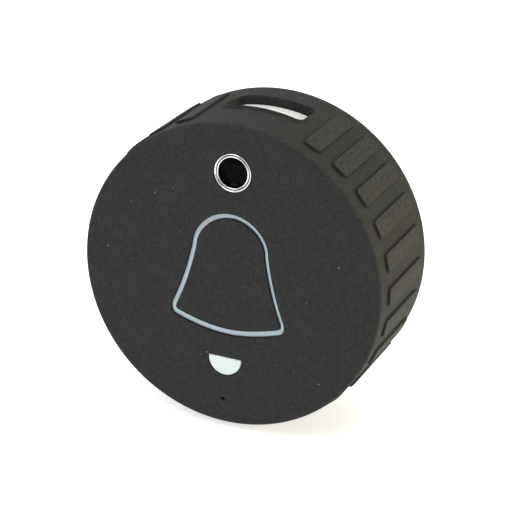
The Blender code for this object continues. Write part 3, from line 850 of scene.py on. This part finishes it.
def make_lens(settings):
    """Plated ring, stepped black barrel and domed front glass."""
    centre = (LENS_CENTRE.x, LENS_CENTRE.y)
    outer, inner = settings.ring_radius, settings.ring_bore
    groove = (outer + inner) / 2
    bm = bmesh.new()
    profile = [(outer, RING_LOW.z)]
    profile += arc((outer - RING_RIDGE, DEPTH - RING_RIDGE), RING_RIDGE, 0, 125, 8)
    profile.append((groove + 0.1 * MM, DEPTH - RING_GROOVE_SHALLOW))
    profile.append((groove - 0.04 * MM, DEPTH - RING_GROOVE_DEEP))
    profile += arc((inner + RING_RIDGE, DEPTH - RING_INNER_DROP), RING_RIDGE, 50, 180, 8)
    profile += [(inner - RING_RIDGE, DEPTH - RING_LEDGE), (inner - RING_RIDGE, RING_LOW.z)]
    turned(bm, profile, centre, 96, closed=True)
    chrome = metal_finish("chrome", (0.9, 0.9, 0.91), 0.09, (groove, RING_GROOVE_HALF))
    finished_piece("plated_ring", bm, chrome, "unit", "chrome_ring", "lens_ring", sharp=60)

    bm = bmesh.new()
    bore = inner - 0.2 * MM
    steps = [(bore, DEPTH - BARREL_TOP)]
    for i in range(BARREL_STEPS):
        radius, height = bore - BARREL_STEP_IN * (i + 1), DEPTH - BARREL_TOP - BARREL_STEP_DOWN * i
        steps += [(radius, height), (radius, height - BARREL_STEP_DOWN)]
    steps += [(BARREL_EYE, DEPTH - BARREL_FLOOR), (BARREL_EYE, BARREL_BACK), (bore, BARREL_BACK)]
    turned(bm, steps, centre, 72, closed=True)
    barrel = plastic_finish("lens_black", (0.004, 0.004, 0.005), 0.35)
    finished_piece("stepped_barrel", bm, barrel, "unit", "black_plastic", "lens_barrel")

    bm = bmesh.new()
    edge, rings = DEPTH - GLASS_TOP, 12
    dome = [(0, edge + GLASS_SAG)]
    dome += [(bore * i / rings, edge + GLASS_SAG * (1 - (i / rings) ** 2)) for i in range(1, rings + 1)]
    dome += [(bore, edge - GLASS_EDGE), (0, edge - GLASS_EDGE)]
    turned(bm, dome, centre, 72)
    glass = glass_finish("front_glass", (0.003, 0.003, 0.004))
    finished_piece("front_glass", bm, glass, "unit", "glass", "lens_glass", sharp=50)


def grille_tree(material, columns, rows, pitch, radius, middle):
    """Node tree that repeats a pierced tile over a strip and bends it round the housing."""
    values = {"Pitch": pitch, "Radius": radius, "Middle": middle, "Turn": GRIP_TURN, "Columns": columns,
              "Rows": rows}
    tree, sheet, given = new_tree("Perforated Strip", values)
    width = sheet.times(given["Pitch"], sheet.minus(given["Columns"], 1.0))
    height = sheet.times(given["Pitch"], sheet.minus(given["Rows"], 1.0))
    inputs = {"Size X": width, "Size Y": height, "Vertices X": given["Columns"], "Vertices Y": given["Rows"]}
    points = sheet.add("GeometryNodeMeshGrid", inputs).outputs[0]
    tiles = sheet.add("GeometryNodeInstanceOnPoints", {"Points": points, "Instance": given["Geometry"]})
    real = sheet.add("GeometryNodeRealizeInstances", {0: tiles.outputs[0]}).outputs[0]
    welded = sheet.add("GeometryNodeMergeByDistance", {"Geometry": real, "Distance": MERGE * 5}).outputs[0]
    parts = sheet.parts(sheet.add("GeometryNodeInputPosition").outputs[0])
    angle = sheet.plus(sheet.math("DIVIDE", parts[0], given["Radius"]), given["Turn"])
    right = sheet.times(sheet.math("SINE", angle), given["Radius"])
    up = sheet.times(sheet.math("COSINE", angle), given["Radius"])
    out = sheet.plus(parts[1], given["Middle"])
    place = sheet.add("ShaderNodeCombineXYZ", {0: right, 1: up, 2: out}).outputs[0]
    bent = sheet.add("GeometryNodeSetPosition", {"Geometry": welded, "Position": place}).outputs[0]
    painted = sheet.add("GeometryNodeSetMaterial", {"Geometry": bent, "Material": material}).outputs[0]
    sheet.add("NodeGroupOutput", {0: painted})
    return tree, values


def pierced_tile(pitch, hole, sides=16):
    """A square tile with a round hole in its middle."""
    bm = bmesh.new()
    inner, outer, half = [], [], pitch / 2
    for i in range(sides):
        angle = math.tau * (i + 0.5) / sides
        c, s = math.cos(angle), math.sin(angle)
        inner.append((hole * c, hole * s, 0))
        reach = half / max(abs(c), abs(s))
        outer.append((reach * c, reach * s, 0))
    _, rim = loft(bm, [inner, outer])
    for k, (x, y) in enumerate(((half, half), (-half, half), (-half, -half), (half, -half))):
        first = sides // 8 - 1 + k * sides // 4
        bm.faces.new((rim[first], bm.verts.new((x, y, 0)), rim[(first + 1) % sides]))
    return bm


def make_speaker_grille(settings):
    """The bright perforated strip behind the sleeve's window."""
    height = GRILLE_HIGH.z - GRILLE_LOW.z
    rows = round(height / settings.grille_pitch)
    pitch = height / rows
    columns = int((GRILLE_HIGH.x - GRILLE_LOW.x) / pitch)
    radius = GRILLE_HIGH.y - GRILLE_SHEET / 2
    middle = (GRILLE_HIGH.z + GRILLE_LOW.z) / 2
    material = plastic_finish("grille_paint", (0.93, 0.94, 0.93), 0.4)
    tile = mesh_from(pierced_tile(pitch, settings.grille_hole), "grille_tile")
    carrier = add_object("grille_carrier", tile)
    tree, values = grille_tree(material, columns, rows, pitch, radius, middle)
    set_inputs(carrier.modifiers.new("Perforated Strip", "NODES"), tree, values)
    thick = carrier.modifiers.new("Solidify", "SOLIDIFY")
    thick.thickness, thick.offset = GRILLE_SHEET, 0.0
    return finished_piece("perforated_strip", baked(carrier), material, "unit", "grille", "speaker_grille")


# ---------- wall side


def make_wall_side(settings):
    """The foam pad with its rounded edge; the plate keeps the frame's shape."""
    bm = bmesh.new()
    edge = 0.2 * MM
    radius, top = PAD_HIGH.x, PAD_HIGH.z
    rounds = arc((radius - edge, top - edge), edge, 90, 0, 5) + arc((radius - edge, edge), edge, 0, -90, 5)
    turned(bm, [(0, top)] + rounds + [(0, 0)])
    foam = foam_finish("foam", settings.foam_colour)
    return finished_piece("foam_pad", bm, foam, "wall_side", "foam", "adhesive_pad")


# ---------- frame nodes


def dress_frame():
    """Gives every frame node that still shows a procedural finish."""
    finishes = {
        "black_plastic": plastic_finish("black_plastic", (0.018, 0.018, 0.018)),
        "white_plastic": plastic_finish("white_plastic", (0.78, 0.8, 0.79), 0.4),
        "steel": metal_finish("steel", (0.6, 0.6, 0.6), 0.3),
        "brass": metal_finish("brass", (0.75, 0.58, 0.28), 0.3),
        "board": board_finish("solder_mask", (0.02, 0.16, 0.07)),
        "rubber": rubber_finish("seal_rubber", (0.03, 0.03, 0.03), 0.2),
        "sensor": glass_finish("sensor_glass", (0.02, 0.015, 0.03)),
        "cell_jacket": plastic_finish("cell_jacket", (0.05, 0.2, 0.5), 0.3),
    }
    for entry in frame["record"]["subparts"]:
        node = frame["nodes"][entry["node"]]
        if not node.hide_render:
            node.data.materials.clear()
            node.data.materials.append(finishes[entry["material_slot"]])


# ---------- stage

VIEW_AZIMUTH, VIEW_ELEVATION, VIEW_ROLL = math.radians(21.55), math.radians(22.15), math.radians(2.86)
VIEW_DISTANCE, VIEW_RIGHT, VIEW_UP = 0.3368, -0.00513, -0.00474
VIEW_LENS = 102.1


def direction(azimuth, elevation):
    """The way from the doorbell to a place round it: azimuth 0 in front, a right angle on the right."""
    cos, sin = math.cos, math.sin
    return Vector((sin(azimuth) * cos(elevation), -cos(azimuth) * cos(elevation), sin(elevation)))


def add_camera():
    """A long lens, above and to the right of the face."""
    cos, sin = math.cos, math.sin
    back = direction(VIEW_AZIMUTH, VIEW_ELEVATION)
    level = Vector((cos(VIEW_AZIMUTH), sin(VIEW_AZIMUTH), 0))
    rise = back.cross(level)
    right = cos(VIEW_ROLL) * level + sin(VIEW_ROLL) * rise
    up = -sin(VIEW_ROLL) * level + cos(VIEW_ROLL) * rise
    data = bpy.data.cameras.new("camera")
    data.lens = VIEW_LENS
    data.clip_start, data.clip_end = 0.01, 20
    camera = add_object("camera", data)
    turn = Matrix((right, up, back)).transposed().to_4x4()
    where = VIEW_DISTANCE * back + VIEW_RIGHT * right + VIEW_UP * up
    camera.matrix_world = Matrix.Translation(where) @ turn
    bpy.context.scene.camera = camera


def add_softbox(name, azimuth, elevation, distance, size, power, colour):
    """An area light that looks at the doorbell's middle."""
    data = bpy.data.lights.new(name, "AREA")
    data.shape, data.size, data.size_y = "RECTANGLE", size[0], size[1]
    data.energy, data.color = power, colour
    light = add_object(name, data)
    back = direction(math.radians(azimuth), math.radians(elevation))
    light.location = back * distance
    light.rotation_euler = back.to_track_quat("Z", "Y").to_euler()


def make_floor(settings):
    """A pale sweep of paper: a floor that bends up into a wall far behind."""
    floor_z = CAD_BOX[0].z - 0.3 * MM
    bend, front, back, height, half_width, steps = 0.5, 2.4, 1.2, 2.5, 3, 16
    line = [(-front, floor_z), (back, floor_z)]
    for turn in (math.pi / 2 * i / steps for i in range(1, steps + 1)):
        line.append((back + bend * math.sin(turn), floor_z + bend * (1 - math.cos(turn))))
    line.append((back + bend, floor_z + height))
    bm = bmesh.new()
    rows = [[bm.verts.new((x, y, z)) for y, z in line] for x in (-half_width, half_width)]
    for i in range(len(line) - 1):
        bm.faces.new((rows[0][i], rows[1][i], rows[1][i + 1], rows[0][i + 1]))
    mesh = mesh_from(bm, "floor")
    mesh.shade_smooth()
    finish = Finish("floor_paper", Roughness=0.9, Specular_IOR_Level=0.1, Emission_Color=(1, 1, 1, 1),
                    Emission_Strength=settings.floor_glow)
    pale = settings.floor_colour
    finish.colour(finish.mix_colour(finish.noise(4 * MM, 3.0), tint(pale, 0.99), tint(pale)))
    mesh.materials.append(finish.material)
    add_object("floor", mesh)


def make_stage(settings):
    """The floor, soft light and the camera."""
    make_floor(settings)
    world = bpy.data.worlds.new("studio")
    world.use_nodes = True
    background = world.node_tree.nodes["Background"]
    background.inputs["Color"].default_value = (1, 1, 1, 1)
    background.inputs["Strength"].default_value = settings.room_light
    bpy.context.scene.world = world
    add_softbox("front", -25, 40, 0.9, (0.5, 0.5), settings.front_power, (0.95, 0.98, 1.0))
    add_softbox("warm_side", 104, 8, 0.8, (0.3, 0.6), settings.side_power, (1.0, 0.8, 0.36))
    add_softbox("top", 10, 84, 1.0, (0.9, 0.7), settings.top_power, (1, 1, 1))
    bpy.context.scene.view_settings.view_transform = "Standard"
    add_camera()


# ---------- add-on


def length_setting(name, description, size):
    return FloatProperty(name=name, description=description, default=size, unit="LENGTH")


def colour_setting(name, description, colour):
    return FloatVectorProperty(
        name=name, description=description, default=colour, subtype="COLOR", min=0, max=1
    )


def power_setting(name, description, watts):
    return FloatProperty(name=name, description=description, default=watts, min=0, unit="POWER")


class SleeveSettings(bpy.types.PropertyGroup):
    """Sizes and colour of the rubber sleeve."""

    grip_height: length_setting("Pad Height", "How far a grip pad stands out", 0.55 * MM)
    grip_width: length_setting("Pad Width", "Width of a pad's flat top", 3.9 * MM)
    grip_slope: length_setting("Pad Slope", "Width of a pad's sloping side", 0.35 * MM)
    grip_corner: length_setting("Pad Corner", "Corner radius of a pad's foot", 1.3 * MM)
    bead_height: length_setting("Bead Height", "How far the window's bead rises", 0.55 * MM)
    bead_width: length_setting("Bead Width", "Width of the bead's outer slope", 1.0 * MM)
    window_corner: length_setting("Window Corner", "Corner radius of the window", 1.6 * MM)
    lens_hole: length_setting("Lens Hole", "Radius of the hole round the ring", 4.3 * MM)
    colour: colour_setting("Rubber Colour", "Colour of the silicone", (0.0172, 0.0184, 0.0182))
    # Strength of the dust and of the painted highlight along the face edge
    dust_and_highlight: FloatProperty(
        name="Dust", description="How strongly dust shows", default=0.6, subtype="FACTOR", min=0, max=1)


class FaceSettings(bpy.types.PropertyGroup):
    """Sizes and colours of the pieces in the face."""

    guide_depth: length_setting("Guide Depth", "How deep the pale line lies", 0.7 * MM)
    guide_colour: colour_setting("Guide Colour", "Colour of the light guide", (0.49, 0.59, 0.66))
    moon_depth: length_setting("Half-moon Depth", "How deep the half-moon lies", 0.12 * MM)
    moon_colour: colour_setting("Half-moon Colour", "Colour of the diffuser", (0.7, 0.785, 0.77))
    ring_radius: length_setting("Ring Radius", "Outer radius of the plated ring", 4.18 * MM)
    ring_bore: length_setting("Ring Bore", "Inner radius of the plated ring", 3.35 * MM)
    grille_pitch: length_setting("Grille Pitch", "Distance between grille holes", 1.3 * MM)
    grille_hole: length_setting("Grille Hole", "Radius of a grille hole", 0.2 * MM)


class StageSettings(bpy.types.PropertyGroup):
    """Floor, lights and the pad's colour."""

    floor_colour: colour_setting("Floor Colour", "Colour of the floor", (0.93, 0.93, 0.93))
    floor_glow: FloatProperty(
        name="Floor Glow", description="Light that the floor gives off itself", default=0.62, min=0)
    foam_colour: colour_setting("Foam Colour", "Colour of the adhesive pad", (0.6, 0.6, 0.58))
    room_light: FloatProperty(
        name="Room Light", description="Strength of the even light of the room", default=0.3, min=0)
    front_power: power_setting("Front Power", "Power of the softbox in front", 3.1)
    side_power: power_setting("Side Power", "Power of the warm side light", 4.6)
    top_power: power_setting("Top Power", "Power of the softbox overhead", 3.9)


class DOORBELL_OT_sleeve(bpy.types.Operator):
    """Build the rubber sleeve with its grip pads and openings"""

    bl_idname = "doorbell.make_sleeve"
    bl_label = "Sleeve"

    def execute(self, context):
        make_sleeve(context.scene.doorbell_sleeve)
        return {"FINISHED"}


class DOORBELL_OT_key(bpy.types.Operator):
    """Build the bell-shaped key and the light line round it"""

    bl_idname = "doorbell.make_key"
    bl_label = "Bell Key"

    def execute(self, context):
        make_bell_key(context.scene.doorbell_sleeve)
        make_light_guide(context.scene.doorbell_face)
        return {"FINISHED"}


class DOORBELL_OT_moon(bpy.types.Operator):
    """Build the half-moon diffuser"""

    bl_idname = "doorbell.make_half_moon"
    bl_label = "Half-moon"

    def execute(self, context):
        make_half_moon(context.scene.doorbell_face)
        return {"FINISHED"}


class DOORBELL_OT_lens(bpy.types.Operator):
    """Build the lens ring, barrel and glass"""

    bl_idname = "doorbell.make_lens"
    bl_label = "Lens"

    def execute(self, context):
        make_lens(context.scene.doorbell_face)
        return {"FINISHED"}


class DOORBELL_OT_grille(bpy.types.Operator):
    """Build the perforated speaker grille"""

    bl_idname = "doorbell.make_grille"
    bl_label = "Speaker Grille"

    def execute(self, context):
        make_speaker_grille(context.scene.doorbell_face)
        return {"FINISHED"}


class DOORBELL_OT_wall_side(bpy.types.Operator):
    """Build what stays on the wall"""

    bl_idname = "doorbell.make_wall_side"
    bl_label = "Wall Side"

    def execute(self, context):
        make_wall_side(context.scene.doorbell_stage)
        return {"FINISHED"}


class DOORBELL_OT_dress(bpy.types.Operator):
    """Give the frame's own pieces their finishes"""

    bl_idname = "doorbell.dress_frame"
    bl_label = "Frame Finishes"

    def execute(self, context):
        dress_frame()
        return {"FINISHED"}


class DOORBELL_OT_stage(bpy.types.Operator):
    """Build the floor, the lights and the camera"""

    bl_idname = "doorbell.make_stage"
    bl_label = "Stage"

    def execute(self, context):
        make_stage(context.scene.doorbell_stage)
        return {"FINISHED"}


STEPS = ("make_stage", "make_sleeve", "make_key", "make_half_moon", "make_lens", "make_grille",
         "make_wall_side", "dress_frame")


class DOORBELL_PT_panel(bpy.types.Panel):
    """Lists the doorbell's steps"""

    bl_idname = "DOORBELL_PT_panel"
    bl_label = "Doorbell"
    bl_space_type = "VIEW_3D"
    bl_region_type = "UI"
    bl_category = "Doorbell"

    def draw(self, context):
        for step in STEPS:
            self.layout.operator(f"doorbell.{step}")


CLASSES = (
    SleeveSettings, FaceSettings, StageSettings, DOORBELL_OT_sleeve, DOORBELL_OT_key, DOORBELL_OT_moon,
    DOORBELL_OT_lens, DOORBELL_OT_grille, DOORBELL_OT_wall_side, DOORBELL_OT_dress, DOORBELL_OT_stage,
    DOORBELL_PT_panel,
)


def register():
    for cls in CLASSES:
        bpy.utils.register_class(cls)
    bpy.types.Scene.doorbell_sleeve = PointerProperty(type=SleeveSettings)
    bpy.types.Scene.doorbell_face = PointerProperty(type=FaceSettings)
    bpy.types.Scene.doorbell_stage = PointerProperty(type=StageSettings)


def unregister():
    del bpy.types.Scene.doorbell_stage
    del bpy.types.Scene.doorbell_face
    del bpy.types.Scene.doorbell_sleeve
    for cls in reversed(CLASSES):
        bpy.utils.unregister_class(cls)


def main():
    register()
    for step in STEPS:
        getattr(bpy.ops.doorbell, step)()


if __name__ == "__main__":
    main()
